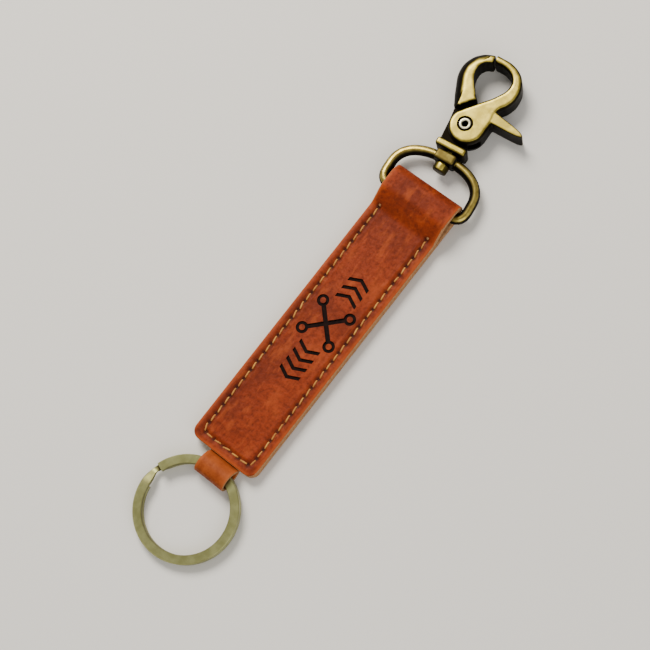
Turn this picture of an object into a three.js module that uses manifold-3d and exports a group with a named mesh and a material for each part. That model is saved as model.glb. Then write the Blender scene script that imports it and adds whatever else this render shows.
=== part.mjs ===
// Leather strap keychain: a folded strap with a sewn-in ring tab and split ring at one end,
// and a swivel ring with a trigger snap hook at the other.
// Millimetres. Origin at the centre of the strap's back face, +Y along the strap to the hook,
// +X across the strap, +Z up out of the strap's face.
import * as THREE from 'three';
import { mergeVertices } from 'three/addons/utils/BufferGeometryUtils.js';
import Module from 'manifold-3d';

const wasm = await Module();
wasm.setup();

// ---------- Driving dimensions ----------
const STRAP = { width: 22, length: 94.5, leather: 1.7, layerGap: 0.3, cornerRadius: 2.8 };
const FOLD = { cavityRadius: 1.9, crestLength: 3.25, slopeLength: 6.2, layerLag: 0.5, barSetback: 1.6 };
const SLOPE_HANDLE = { upper: 1, lower: 0.6 };
const SEAM = { edgeInset: 2.6, threadWidth: 0.7, grooveWidth: 1.2, cornerRadius: 1.6 };
const GROOVE = { faceDepth: 0.5, backDepth: 0.45 };
const THREAD = { faceSunk: 0.4, faceProud: 0.1, backLow: 0.02, backHigh: 0.35 };
const LAYER_LINE = { depth: 0.5 };
const CURVE = { fold: 8, planCorner: 5, seamCorner: 4 };
const TAB = { width: 10, leather: 0.9, centreX: 1.4, tongueLength: 7.65, tongueThickness: 1.3 };
const TAB_LOOP = { outerY: -54.1, height: 5.9, centreZ: 3.0, outerR: 2.1, innerR: 1.2 };
const TAB_SPLAY = { start: 0.1, lowHandle: 1.2, highHandle: 1.5, outerEnd: 2.7, innerEnd: 2.4 };
const TAB_POCKET = { sideGap: 0.2, endGap: 0.3, faceGap: 0.22 };
const SPLIT_RING = { outerR: 15, band: 2.6, turn: 1.35, turnGap: 0.1, centreY: -64.2, chamfer: 0.22 };
const RING_JOINT = { rampDeg: 24, endDeg: 162, endGapDeg: 1.6 };
const RING_SEAT = { loopGap: 0.05, tableGap: 0.02 };
const SWIVEL_RING = { wireR: 1.5, halfWidth: 13.05, barHalf: 10.15, cornerR: 2.9, yawDeg: 6.2 };
const BOW = { centreY: 5.1, rise: 8.8, power: 2.4 };
const BOSS = { width: 6.3, height: 6, bottomY: 12.3, topY: 15.45, boreR: 1.75, corner: 0.9, rim: 0.3 };
const POST = { headR: 2.15, shankR: 1.45, headBottomY: 9.7, headTopY: 12.0, endY: 17.6 };
const POST_RIMS = { head: 0.5, end: 0.3 };
const HOOK = { pivotY: 24.6, halfDepth: 3.55, rim: 0.2, tongueHalf: 1.3, tongueR: 4.6 };
const FLANGE = { halfWidth: 4.7, bottomY: -8.7, topY: -6.4, halfDepth: 3.4, boreTopY: -6.8 };
const FLANGE_RIMS = { corner: 0.5, face: 0.4 };
const TRIGGER = { cheekX: 0.8, cheekY: -0.1, cheekR: 5.35, slotHalf: 1.55, slotR: 5.2, slotBelowY: -1.8 };
const RIVET = { shankR: 1.45, holeR: 1.7, headR: 1.85, boreR: 0.95, recessR: 2.3, recessDepth: 0.6 };
const RIVET_HEAD = { belowFace: 0.05, seatGap: 0.35, outerRim: 0.12, roll: 0.2 };
const SPRING = { wireR: 0.25, coilR: 2.45, turns: 2.5, bottomZ: -0.5, topZ: 0.95 };
const SPRING_ROOM = { pocketR: 3.4, pocketZ: -0.8, movingLegZ: 0.4, fixedLegX: -4.2, fixedLegHalf: 0.45 };

// ---------- Values that follow from them ----------
const UP = new THREE.Vector3(0, 0, 1);
const ACROSS = new THREE.Vector3(1, 0, 0);
const ALONG = new THREE.Vector3(0, 1, 0);
const halfLength = STRAP.length / 2;
const halfWidth = STRAP.width / 2;
const faceZ = 2 * STRAP.leather + STRAP.layerGap;
const frontBackZ = STRAP.leather + STRAP.layerGap;
const foldR = FOLD.cavityRadius + STRAP.leather;
const foldY = halfLength - foldR;
const foldZ = foldR;
const crestY = foldY - FOLD.crestLength;
const settleY = crestY - FOLD.slopeLength;
const rowX = halfWidth - SEAM.edgeInset;
const endRowY = -halfLength + SEAM.edgeInset;
const ringHeight = 2 * SPLIT_RING.turn + SPLIT_RING.turnGap;
const ringMidR = SPLIT_RING.outerR - SPLIT_RING.band / 2;
const yaw = THREE.MathUtils.degToRad(SWIVEL_RING.yawDeg);
const barY = foldY - FOLD.barSetback;

// ---------- Helpers ----------
function toManifold(geometry) {
  const bare = geometry.clone();
  const extras = Object.keys(bare.attributes).filter((name) => name !== 'position');
  for (const name of extras) bare.deleteAttribute(name);
  const merged = mergeVertices(bare, 1e-5);
  const triVerts = new Uint32Array(merged.index.array);
  const vertProperties = new Float32Array(merged.attributes.position.array);
  return new wasm.Manifold(new wasm.Mesh({ numProp: 3, vertProperties, triVerts }));
}

function toGeometry(manifold) {
  const mesh = manifold.getMesh();
  const geometry = new THREE.BufferGeometry();
  geometry.setAttribute('position', new THREE.BufferAttribute(mesh.vertProperties, 3));
  geometry.setIndex(new THREE.BufferAttribute(mesh.triVerts, 1));
  return geometry;
}

// A base solid with others joined to it, and then others cut from it.
function build(base, joined = [], cut = []) {
  let result = toManifold(base);
  for (const piece of joined) result = result.add(toManifold(piece));
  for (const piece of cut) result = result.subtract(toManifold(piece));
  return toGeometry(result);
}

function slab(shape, z0, z1, bevel = 0, curveSegments = 12) {
  const geometry = new THREE.ExtrudeGeometry(shape, {
    depth: z1 - z0 - 2 * bevel, curveSegments, bevelEnabled: bevel > 0,
    bevelThickness: bevel, bevelSize: bevel, bevelOffset: -bevel, bevelSegments: 2,
  });
  return geometry.translate(0, 0, z0 + bevel);
}

// A side outline drawn as (y, z), extruded across the strap from x0 to x1.
function sideSlab(shape, x0, x1, curveSegments = 12) {
  const geometry = new THREE.ExtrudeGeometry(shape, { depth: x1 - x0, bevelEnabled: false, curveSegments });
  geometry.translate(0, 0, x0);
  return geometry.applyMatrix4(new THREE.Matrix4().makeBasis(ALONG, UP, ACROSS));
}

function block(x0, x1, y0, y1, z0, z1) {
  const box = new THREE.BoxGeometry(x1 - x0, y1 - y0, z1 - z0);
  return box.translate((x0 + x1) / 2, (y0 + y1) / 2, (z0 + z1) / 2);
}

function drum(radius, z0, z1, segments = 40) {
  const cylinder = new THREE.CylinderGeometry(radius, radius, z1 - z0, segments);
  return cylinder.rotateX(Math.PI / 2).translate(0, 0, (z0 + z1) / 2);
}

function sweep(curve, section, steps) {
  const options = { extrudePath: curve, steps, bevelEnabled: false, curveSegments: 3 };
  return new THREE.ExtrudeGeometry(section, options);
}

function disc(radius, sides) {
  const points = [];
  for (let i = 0; i < sides; i++) {
    const angle = (2 * Math.PI * i) / sides;
    points.push([radius * Math.cos(angle), radius * Math.sin(angle)]);
  }
  return polygon(...points);
}

function polygon(...points) {
  return new THREE.Shape(points.map(([x, y]) => new THREE.Vector2(x, y)));
}

function through(path, ...points) {
  path.splineThru(points.map(([x, y]) => new THREE.Vector2(x, y)));
}

function named(name, geometry, material) {
  const mesh = new THREE.Mesh(geometry, material);
  mesh.name = name;
  return mesh;
}

function finish(color, roughness, metalness) {
  return new THREE.MeshStandardMaterial({ color, roughness, metalness });
}

// ---------- Strap: one strip folded over the swivel ring's bar, its two layers glued and sewn ----------
const upperHandle = (crestY + settleY) / 2 + SLOPE_HANDLE.upper;
const lowerHandle = (crestY + settleY) / 2 - SLOPE_HANDLE.lower;

function strapOutline() {
  const top = foldZ + foldR;
  const s = new THREE.Shape();
  s.moveTo(-halfLength, 0);
  s.lineTo(foldY, 0);
  s.absarc(foldY, foldZ, foldR, -Math.PI / 2, Math.PI / 2, false);
  s.lineTo(crestY, top);
  s.bezierCurveTo(upperHandle, top, lowerHandle, faceZ, settleY, faceZ);
  s.lineTo(-halfLength, faceZ);
  s.closePath();
  return s;
}

// The open loop inside the fold, which the swivel ring's bar runs through.
function loopOutline() {
  const innerTop = foldZ + FOLD.cavityRadius;
  const lag = FOLD.layerLag;
  const s = new THREE.Shape();
  s.moveTo(settleY + lag, STRAP.leather);
  s.lineTo(foldY, STRAP.leather);
  s.absarc(foldY, foldZ, FOLD.cavityRadius, -Math.PI / 2, Math.PI / 2, false);
  s.lineTo(crestY + lag, innerTop);
  s.bezierCurveTo(upperHandle + lag, innerTop, lowerHandle + lag, frontBackZ, settleY + lag, frontBackZ);
  s.closePath();
  return s;
}

// The strap's outline from above, or one set in from it all round.
function planOutline(inset = 0) {
  const r = STRAP.cornerRadius - inset;
  const side = halfWidth - inset;
  const end = halfLength - inset;
  const spare = 5;
  const s = new THREE.Shape();
  s.moveTo(-side, halfLength + spare);
  s.lineTo(-side, -end + r);
  s.absarc(-side + r, -end + r, r, Math.PI, 1.5 * Math.PI, false);
  s.absarc(side - r, -end + r, r, 1.5 * Math.PI, 2 * Math.PI, false);
  s.lineTo(side, halfLength + spare);
  s.closePath();
  return slab(s, -spare, foldZ + foldR + spare, 0, CURVE.planCorner);
}

// The fine line that shows between the two layers all round their cut edges.
function layerLine() {
  const band = block(-halfWidth - 1, halfWidth + 1, -halfLength - 1, crestY, STRAP.leather, frontBackZ);
  return toManifold(band).subtract(toManifold(planOutline(LAYER_LINE.depth)));
}

// The seam runs down the left edge, across the lower end and up the right edge.
function seamBand(width) {
  const h = width / 2;
  const top = settleY + (width - SEAM.threadWidth) / 2;
  const ro = SEAM.cornerRadius + h;
  const ri = SEAM.cornerRadius - h;
  const cx = rowX - SEAM.cornerRadius;
  const cy = endRowY + SEAM.cornerRadius;
  const s = new THREE.Shape();
  s.moveTo(-rowX - h, top);
  s.lineTo(-rowX - h, cy);
  s.absarc(-cx, cy, ro, Math.PI, 1.5 * Math.PI, false);
  s.absarc(cx, cy, ro, 1.5 * Math.PI, 2 * Math.PI, false);
  s.lineTo(rowX + h, top);
  s.lineTo(rowX - h, top);
  s.absarc(cx, cy, ri, 2 * Math.PI, 1.5 * Math.PI, true);
  s.absarc(-cx, cy, ri, 1.5 * Math.PI, Math.PI, true);
  s.lineTo(-rowX + h, top);
  s.closePath();
  return s;
}

function makeStrap() {
  const pocketHalfX = TAB.width / 2 + TAB_POCKET.sideGap;
  const pocketHalfZ = TAB.tongueThickness / 2 + TAB_POCKET.faceGap;
  const tonguePocket = block(TAB.centreX - pocketHalfX, TAB.centreX + pocketHalfX,
    -halfLength - 1, -halfLength + TAB.tongueLength + TAB_POCKET.endGap,
    faceZ / 2 - pocketHalfZ, faceZ / 2 + pocketHalfZ);
  const corner = CURVE.seamCorner;
  const faceGroove = slab(seamBand(SEAM.grooveWidth), faceZ - GROOVE.faceDepth, faceZ + 1, 0, corner);
  const backGroove = slab(seamBand(SEAM.grooveWidth), -1, GROOVE.backDepth, 0, corner);
  const loop = sideSlab(loopOutline(), -halfWidth - 1, halfWidth + 1, CURVE.fold);
  const strip = toManifold(sideSlab(strapOutline(), -halfWidth, halfWidth, CURVE.fold));
  let result = strip.intersect(toManifold(planOutline())).subtract(layerLine());
  for (const cut of [loop, tonguePocket, faceGroove, backGroove]) result = result.subtract(toManifold(cut));
  return toGeometry(result);
}

// ---------- Ring tab: a small strip folded round the split ring, its tongue sewn into the strap ----------
function tabOutline() {
  const z = faceZ / 2;
  const t = TAB.tongueThickness / 2;
  const top = TAB_LOOP.centreZ + TAB_LOOP.height / 2;
  const bottom = TAB_LOOP.centreZ - TAB_LOOP.height / 2;
  const r = TAB_LOOP.outerR;
  const start = -halfLength - TAB_SPLAY.start;
  const lowHandle = -halfLength - TAB_SPLAY.lowHandle;
  const highHandle = -halfLength - TAB_SPLAY.highHandle;
  const splayY = -halfLength - TAB_SPLAY.outerEnd;
  const s = new THREE.Shape();
  s.moveTo(-halfLength + TAB.tongueLength, z - t);
  s.lineTo(-halfLength + TAB.tongueLength, z + t);
  s.lineTo(start, z + t);
  s.bezierCurveTo(lowHandle, z + t, highHandle, top, splayY, top);
  s.lineTo(TAB_LOOP.outerY + r, top);
  s.absarc(TAB_LOOP.outerY + r, top - r, r, Math.PI / 2, Math.PI, false);
  s.absarc(TAB_LOOP.outerY + r, bottom + r, r, Math.PI, 1.5 * Math.PI, false);
  s.lineTo(splayY, bottom);
  s.bezierCurveTo(highHandle, bottom, lowHandle, z - t, start, z - t);
  s.closePath();
  s.holes.push(tabHole());
  return s;
}

function tabHole() {
  const h = TAB_LOOP.height / 2 - TAB.leather;
  const z = TAB_LOOP.centreZ;
  const left = TAB_LOOP.outerY + TAB.leather;
  const r = TAB_LOOP.innerR;
  const splayY = -halfLength - TAB_SPLAY.innerEnd;
  const s = new THREE.Path();
  s.moveTo(splayY, z + h);
  s.lineTo(-halfLength - 1.45, z + h - 0.9);
  s.lineTo(-halfLength - 1.1, z - 0.75);
  s.lineTo(-halfLength - 1.5, z - h + 0.6);
  s.lineTo(splayY, z - h);
  s.lineTo(left + r, z - h);
  s.absarc(left + r, z - h + r, r, 1.5 * Math.PI, Math.PI, true);
  s.absarc(left + r, z + h - r, r, Math.PI, Math.PI / 2, true);
  s.closePath();
  return s;
}

// ---------- Split ring: two turns of flat wire with one joggle between them ----------
class TwoTurns extends THREE.Curve {
  getPoint(t, target = new THREE.Vector3()) {
    const start = RING_JOINT.endDeg + RING_JOINT.rampDeg + RING_JOINT.endGapDeg;
    const turned = t * (720 - RING_JOINT.rampDeg - 2 * RING_JOINT.endGapDeg);
    const rampStart = 360 - RING_JOINT.rampDeg - RING_JOINT.endGapDeg;
    const rise = THREE.MathUtils.smoothstep(turned, rampStart, rampStart + RING_JOINT.rampDeg);
    const angle = THREE.MathUtils.degToRad(start + turned);
    const level = (SPLIT_RING.turn + SPLIT_RING.turnGap) * (rise - 0.5);
    return target.set(ringMidR * Math.cos(angle), ringMidR * Math.sin(angle), level);
  }
}

function makeSplitRing() {
  const h = SPLIT_RING.turn / 2;
  const w = SPLIT_RING.band / 2;
  const c = SPLIT_RING.chamfer;
  const section = polygon([-h, -w + c], [-h, w - c], [-h + c, w], [h - c, w],
    [h, w - c], [h, -w + c], [h - c, -w], [-h + c, -w]);
  return sweep(new TwoTurns(), section, 120);
}

// ---------- Swivel ring: a D-shaped wire with its bar in the fold and a bored boss on its bow ----------
function bowPoint(degrees) {
  const angle = THREE.MathUtils.degToRad(degrees);
  const c = Math.cos(angle);
  const s = Math.sin(angle);
  const x = SWIVEL_RING.halfWidth * Math.sign(c) * Math.abs(c) ** (2 / BOW.power);
  return new THREE.Vector3(x, BOW.centreY + BOW.rise * s ** (2 / BOW.power), 0);
}

function swivelRingPath() {
  const half = [];
  for (let degrees = 86; degrees > 0; degrees -= 8.6) half.push(bowPoint(degrees));
  half.push(new THREE.Vector3(SWIVEL_RING.halfWidth, BOW.centreY, 0));
  for (let degrees = 0; degrees >= -90; degrees -= 22.5) {
    const angle = THREE.MathUtils.degToRad(degrees);
    const x = SWIVEL_RING.barHalf + SWIVEL_RING.cornerR * Math.cos(angle);
    half.push(new THREE.Vector3(x, SWIVEL_RING.cornerR * (1 + Math.sin(angle)), 0));
  }
  half.push(new THREE.Vector3(SWIVEL_RING.barHalf / 2, 0, 0));
  const mirrored = half.map((p) => new THREE.Vector3(-p.x, p.y, 0)).reverse();
  return new THREE.CatmullRomCurve3([...half, ...mirrored], false, 'centripetal');
}

function makeSwivelRing() {
  const wire = sweep(swivelRingPath(), disc(SWIVEL_RING.wireR, 12), 76);
  const w = BOSS.width / 2;
  const h = BOSS.height / 2;
  const c = BOSS.corner;
  const face = polygon([-w + c, -h], [w - c, -h], [w, -h + c], [w, h - c],
    [w - c, h], [-w + c, h], [-w, h - c], [-w, -h + c]);
  const boss = slab(face, BOSS.bottomY, BOSS.topY, BOSS.rim).rotateX(-Math.PI / 2);
  const bore = drum(BOSS.boreR, BOSS.bottomY - 6, BOSS.topY + 2, 32).rotateX(-Math.PI / 2);
  return build(wire, [boss], [bore]);
}

// ---------- Swivel post: the headed stud that ties the hook to the boss ----------
function makeSwivelPost() {
  const p = POST;
  const profile = [[0, p.headBottomY], [p.headR - POST_RIMS.head, p.headBottomY],
    [p.headR, p.headBottomY + POST_RIMS.head], [p.headR, p.headTopY], [p.shankR, p.headTopY],
    [p.shankR, p.endY - POST_RIMS.end], [p.shankR - POST_RIMS.end, p.endY], [0, p.endY]];
  const points = profile.map(([r, y]) => new THREE.Vector2(r, y));
  return new THREE.LatheGeometry(points, 28).translate(0, -HOOK.pivotY, 0);
}

// ---------- Hook body: flange, middle tongue and fixed jaw ----------
function jawOutline() {
  const s = new THREE.Shape();
  s.moveTo(-0.75, 7.75);
  through(s, [-3.7, 11.0], [-5.55, 14.6], [-4.9, 18.0], [-2.65, 19.35]);
  s.lineTo(-3.05, 21.7);
  through(s, [-6.9, 20.45], [-9.3, 17.8], [-10.15, 13.9], [-8.3, 8.2], [-5.9, 3.5]);
  s.lineTo(-4.9, 3.75);
  s.closePath();
  return s;
}

function tongueOutline() {
  const r = HOOK.tongueR;
  const from = THREE.MathUtils.degToRad(-48);
  const to = THREE.MathUtils.degToRad(116);
  const s = new THREE.Shape();
  s.moveTo(-4.4, FLANGE.topY - 0.4);
  s.lineTo(4.2, FLANGE.topY - 0.4);
  s.lineTo(4.2, FLANGE.topY + 0.2);
  s.lineTo(3.15, -4.6);
  s.absarc(0, 0, r, from, to, false);
  s.lineTo(-2.75, 4.9);
  s.lineTo(-3.0, 7.0);
  s.lineTo(-6.2, 6.0);
  s.lineTo(-5.6, 3.4);
  s.lineTo(-5.0, -0.5);
  s.closePath();
  return s;
}

function makeHookBody() {
  const f = FLANGE;
  const z = HOOK.tongueHalf;
  const w = f.halfWidth;
  const c = FLANGE_RIMS.corner;
  const flangeFace = polygon([-w + c, f.bottomY], [w - c, f.bottomY], [w, f.bottomY + c], [w, f.topY - c],
    [w - c, f.topY], [-w + c, f.topY], [-w, f.topY - c], [-w, f.bottomY + c]);
  const flange = slab(flangeFace, -f.halfDepth, f.halfDepth, FLANGE_RIMS.face);
  const jaw = slab(jawOutline(), -HOOK.halfDepth, HOOK.halfDepth, HOOK.rim, 7);
  const tongue = slab(tongueOutline(), -z, z);
  const rivetHole = drum(RIVET.holeR, -z - 1, z + 1, 32);
  const room = SPRING_ROOM;
  const springPocket = drum(room.pocketR, room.pocketZ, z + 1, 36);
  const movingLegSlot = slab(polygon([0, 0], [5.4, -4.2], [5.6, 2.4]), room.movingLegZ, z + 1);
  const fixedLegSlot = block(room.fixedLegX, 0, -room.fixedLegHalf, room.fixedLegHalf, room.pocketZ, z + 1);
  const postBore = drum(BOSS.boreR, f.bottomY - 3, f.boreTopY, 28).rotateX(-Math.PI / 2);
  return build(tongue, [flange, jaw], [rivetHole, springPocket, movingLegSlot, fixedLegSlot, postBore]);
}

// ---------- Trigger: two cheeks over the tongue, a thumb lever and the gate arm ----------
function triggerOutline() {
  const t = TRIGGER;
  const leftTop = Math.atan2(1.95 - t.cheekY, -4.2 - t.cheekX);
  const s = new THREE.Shape();
  s.moveTo(t.cheekX + t.cheekR * Math.cos(leftTop), t.cheekY + t.cheekR * Math.sin(leftTop));
  s.absarc(t.cheekX, t.cheekY, t.cheekR, leftTop, 2 * Math.PI - 0.14, false);
  s.lineTo(6.1, 3.45);
  s.lineTo(15.3, 3.7);
  s.lineTo(15.75, 4.25);
  s.lineTo(15.3, 4.85);
  s.lineTo(6.0, 6.9);
  through(s, [7.65, 9.75], [8.8, 13.4], [7.65, 18.1], [3.9, 21.2], [-2.3, 22.05]);
  s.lineTo(-2.0, 19.65);
  through(s, [1.6, 19.4], [4.5, 17.6], [5.2, 15.0], [3.6, 11.4], [0.2, 7.25]);
  s.lineTo(-2.9, 3.6);
  s.closePath();
  return s;
}

function makeTrigger() {
  const t = TRIGGER;
  const d = HOOK.halfDepth;
  const plate = slab(triggerOutline(), -d, d, HOOK.rim, 8);
  const slot = drum(t.slotR, -t.slotHalf, t.slotHalf, 48);
  const lowerSlot = block(-8, 8, -8, t.slotBelowY, -t.slotHalf, t.slotHalf);
  const rivetHole = drum(RIVET.holeR, -d - 1, d + 1, 32);
  const topRecess = drum(RIVET.recessR, d - RIVET.recessDepth, d + 1, 36);
  const bottomRecess = drum(RIVET.recessR, -d - 1, -d + RIVET.recessDepth, 36);
  return build(plate, [], [slot, lowerSlot, rivetHole, topRecess, bottomRecess]);
}

// ---------- Pivot rivet: a tubular rivet with both ends rolled over ----------
function makePivotRivet() {
  const h = RIVET_HEAD;
  const end = HOOK.halfDepth - h.belowFace;
  const seat = end - RIVET.recessDepth + h.seatGap;
  const top = [[RIVET.headR, seat], [RIVET.headR, end - h.outerRim], [RIVET.headR - h.roll, end],
    [RIVET.boreR + h.roll, end], [RIVET.boreR, end - h.roll]];
  const bottom = top.map(([r, y]) => [r, -y]).reverse();
  const profile = [[RIVET.shankR, seat], ...top, ...bottom, [RIVET.shankR, -seat], [RIVET.shankR, seat]];
  const points = profile.map(([r, y]) => new THREE.Vector2(r, y));
  return new THREE.LatheGeometry(points, 30).rotateX(Math.PI / 2);
}

// ---------- Trigger spring: a torsion spring round the rivet, in the tongue's pocket ----------
function makeTriggerSpring() {
  const points = [new THREE.Vector3(-3.75, 0, SPRING.bottomZ), new THREE.Vector3(-3.0, 0, SPRING.bottomZ)];
  const count = 40;
  for (let i = 0; i <= count; i++) {
    const angle = Math.PI + (i / count) * SPRING.turns * 2 * Math.PI;
    const z = SPRING.bottomZ + (i / count) * (SPRING.topZ - SPRING.bottomZ);
    points.push(new THREE.Vector3(SPRING.coilR * Math.cos(angle), SPRING.coilR * Math.sin(angle), z));
  }
  points.push(new THREE.Vector3(3.1, 0.35, SPRING.topZ), new THREE.Vector3(4.75, 0.6, SPRING.topZ));
  return sweep(new THREE.CatmullRomCurve3(points, false, 'centripetal'), disc(SPRING.wireR, 6), 72);
}

// ---------- Materials ----------
const strapLeather = finish(0x96411f, 0.55, 0);
const tabLeather = finish(0xb8622f, 0.6, 0);
const thread = finish(0xc8a050, 0.8, 0);
const antiqueBrass = finish(0xb0a070, 0.42, 1);
const ringBrass = finish(0x8c8a5c, 0.45, 1);
const springSteel = finish(0x70706c, 0.4, 1);

// ---------- Assembly ----------
const keychain = new THREE.Group();

keychain.add(named('strap', makeStrap(), strapLeather));
const tabShape = sideSlab(tabOutline(), TAB.centreX - TAB.width / 2, TAB.centreX + TAB.width / 2);
keychain.add(named('ring_tab', tabShape, tabLeather));
const faceThread = slab(seamBand(SEAM.threadWidth), faceZ - THREAD.faceSunk, faceZ + THREAD.faceProud);
keychain.add(named('face_thread', faceThread, thread));
keychain.add(named('back_thread', slab(seamBand(SEAM.threadWidth), THREAD.backLow, THREAD.backHigh), thread));

// The split ring leans on the table with its far edge, and the tab lifts its near side.
const nearHeight = TAB_LOOP.centreZ - RING_SEAT.loopGap - ringHeight / 2;
const lift = Math.asin(nearHeight / (SPLIT_RING.outerR + ringMidR));
const ringSeat = new THREE.Group();
const ringRise = SPLIT_RING.outerR * Math.sin(lift) + (ringHeight / 2) * Math.cos(lift);
ringSeat.position.set(TAB.centreX, SPLIT_RING.centreY, ringRise + RING_SEAT.tableGap);
ringSeat.rotation.x = lift;
ringSeat.add(named('split_ring', makeSplitRing(), ringBrass));
keychain.add(ringSeat);

const swivel = new THREE.Group();
swivel.position.set(0, barY, foldZ);
swivel.rotation.z = yaw;
swivel.add(named('swivel_ring', makeSwivelRing(), antiqueBrass));
keychain.add(swivel);

const hook = new THREE.Group();
hook.position.set(0, HOOK.pivotY, 0);
hook.add(named('swivel_post', makeSwivelPost(), antiqueBrass));
hook.add(named('hook_body', makeHookBody(), antiqueBrass));
hook.add(named('trigger', makeTrigger(), antiqueBrass));
hook.add(named('pivot_rivet', makePivotRivet(), antiqueBrass));
hook.add(named('trigger_spring', makeTriggerSpring(), springSteel));
swivel.add(hook);

export default keychain;
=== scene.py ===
import math

import bmesh
import bpy
from mathutils import Matrix, Quaternion, Vector, noise


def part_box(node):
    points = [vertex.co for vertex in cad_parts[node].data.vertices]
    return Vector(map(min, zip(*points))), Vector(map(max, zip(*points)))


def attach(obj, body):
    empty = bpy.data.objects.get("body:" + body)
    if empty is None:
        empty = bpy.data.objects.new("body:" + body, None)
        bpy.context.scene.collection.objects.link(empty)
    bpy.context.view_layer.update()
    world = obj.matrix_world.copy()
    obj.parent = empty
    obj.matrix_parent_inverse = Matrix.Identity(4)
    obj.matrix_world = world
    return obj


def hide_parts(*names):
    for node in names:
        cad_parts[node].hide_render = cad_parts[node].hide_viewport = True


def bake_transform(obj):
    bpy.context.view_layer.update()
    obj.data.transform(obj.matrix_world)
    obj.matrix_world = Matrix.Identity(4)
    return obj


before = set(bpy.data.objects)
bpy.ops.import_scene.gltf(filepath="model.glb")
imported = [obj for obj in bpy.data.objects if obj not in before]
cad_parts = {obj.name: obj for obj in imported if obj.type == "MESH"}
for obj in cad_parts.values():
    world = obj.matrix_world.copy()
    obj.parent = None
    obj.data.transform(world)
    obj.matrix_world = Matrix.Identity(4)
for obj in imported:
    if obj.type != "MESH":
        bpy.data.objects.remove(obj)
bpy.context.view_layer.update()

MM = 0.001

# ---------------------------------------------------------------- driving sizes, in millimetres
STRAP_LOW, STRAP_HIGH = (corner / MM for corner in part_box("strap"))
HALF_WIDTH = STRAP_HIGH.x
LOWER_END = STRAP_LOW.y
LEATHER = 1.7
FACE = 3.7                       # height of the strap's front face over its back
FOLD_MIDDLE = 3.6                # height of the fold's axis over the back
FOLD_Y = STRAP_HIGH.y - FOLD_MIDDLE
CREST_Y = FOLD_Y - 3.25          # where the front layer starts down from the fold
SLOPE_BOW = 3.6                  # radius of the bends at the top and the foot of the slope
SLOPE_LEAN = math.radians(34)
RIM_EASE = 0.42
STAMP_DEPTH = 0.24
CORNER = 2.8
SEAM_X = HALF_WIDTH - 2.6
SEAM_END = LOWER_END + 2.6
SEAM_CORNER = 1.6
SEAM_TOP = 34.0
STITCH_PITCH = 3.05
STITCH_LENGTH = 2.4
THREAD_R = 0.2

TAB_X = 1.4
TAB_WIDTH = 10.0
TAB_THICK = 0.9
RING_Y = -64.2
RING_OUTER = 15.0
RING_BAND = 2.6
RING_TURN = 1.35
RING_STEP = 1.45                 # from one turn of the split ring to the next
JOGGLE_START = 162.0
JOGGLE_SPAN = 24.0

SWIVEL_YAW = math.radians(6.2)
BAR_Y = FOLD_Y - 1.6
PIVOT_Y = 24.6                   # from the swivel ring's bar to the hook's rivet
HOOK_DEPTH = 3.5

TO_SWIVEL = Matrix.Translation((0, BAR_Y * MM, FOLD_MIDDLE * MM)) @ Matrix.Rotation(SWIVEL_YAW, 4, "Z")
TO_HOOK = TO_SWIVEL @ Matrix.Translation((0, PIVOT_Y * MM, 0))


# ---------------------------------------------------------------- working tools
def only(obj):
    """Select one object alone, out of edit mode."""
    if bpy.context.mode != "OBJECT":
        bpy.ops.object.mode_set(mode="OBJECT")
    bpy.ops.object.select_all(action="DESELECT")
    obj.select_set(True)
    bpy.context.view_layer.objects.active = obj


def edit(obj):
    only(obj)
    bpy.ops.object.mode_set(mode="EDIT")


def done(obj):
    bpy.ops.object.mode_set(mode="OBJECT")
    only(obj)


def pick(kind, test):
    """In edit mode, select only the verts, edges or faces that pass the test."""
    bpy.ops.mesh.select_mode(type=kind)
    bpy.ops.mesh.select_all(action="DESELECT")
    mesh = bpy.context.edit_object.data
    shape = bmesh.from_edit_mesh(mesh)
    shape.normal_update()
    for item in {"VERT": shape.verts, "EDGE": shape.edges, "FACE": shape.faces}[kind]:
        if test(item):
            item.select_set(True)
    bmesh.update_edit_mesh(mesh)


def near(a, b, within=0.02):
    return abs(a - b * MM) < within * MM


def bend_angle(edge):
    return edge.calc_face_angle(0.0)


def settle(obj, place=None):
    """Put a piece where it goes and leave its object at the origin."""
    if place is not None:
        obj.matrix_world = place @ obj.matrix_world
    only(obj)
    bpy.ops.object.transform_apply(location=True, rotation=True, scale=True)
    return obj


def modify(obj, kind, **settings):
    only(obj)
    modifier = obj.modifiers.new(kind, kind)
    for name, value in settings.items():
        setattr(modifier, name, value)
    bpy.ops.object.modifier_apply(modifier=modifier.name)


def cut(obj, *tools, how="DIFFERENCE"):
    for tool in tools:
        modify(obj, "BOOLEAN", object=tool, operation=how, solver="EXACT", material_mode="TRANSFER")
        bpy.data.objects.remove(tool)


def join(obj, *others):
    only(obj)
    for other in others:
        other.select_set(True)
    bpy.ops.object.join()
    return obj


def smooth(obj, degrees=35):
    only(obj)
    bpy.ops.object.shade_smooth_by_angle(angle=math.radians(degrees))


def cast(obj, voxel=0.17, passes=4):
    """Run joined solids together as one casting with softened edges and small fillets."""
    modify(obj, "REMESH", mode="VOXEL", voxel_size=voxel * MM)
    modify(obj, "SMOOTH", factor=0.5, iterations=passes)


def patina_and_painted_shade(obj, test):
    """Mark the verts of recesses and hidden faces, which polishing hardly reaches, and on some pieces the
    faces where shade is painted in.
    """
    mark = obj.data.attributes.new("patina_and_painted_shade", "FLOAT", "POINT")
    for index, vert in enumerate(obj.data.vertices):
        mark.data[index].value = min(1.0, max(0.0, test(vert.co / MM, vert.normal)))


def named(obj, name):
    obj.name = name
    obj.data.name = name
    return obj


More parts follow.
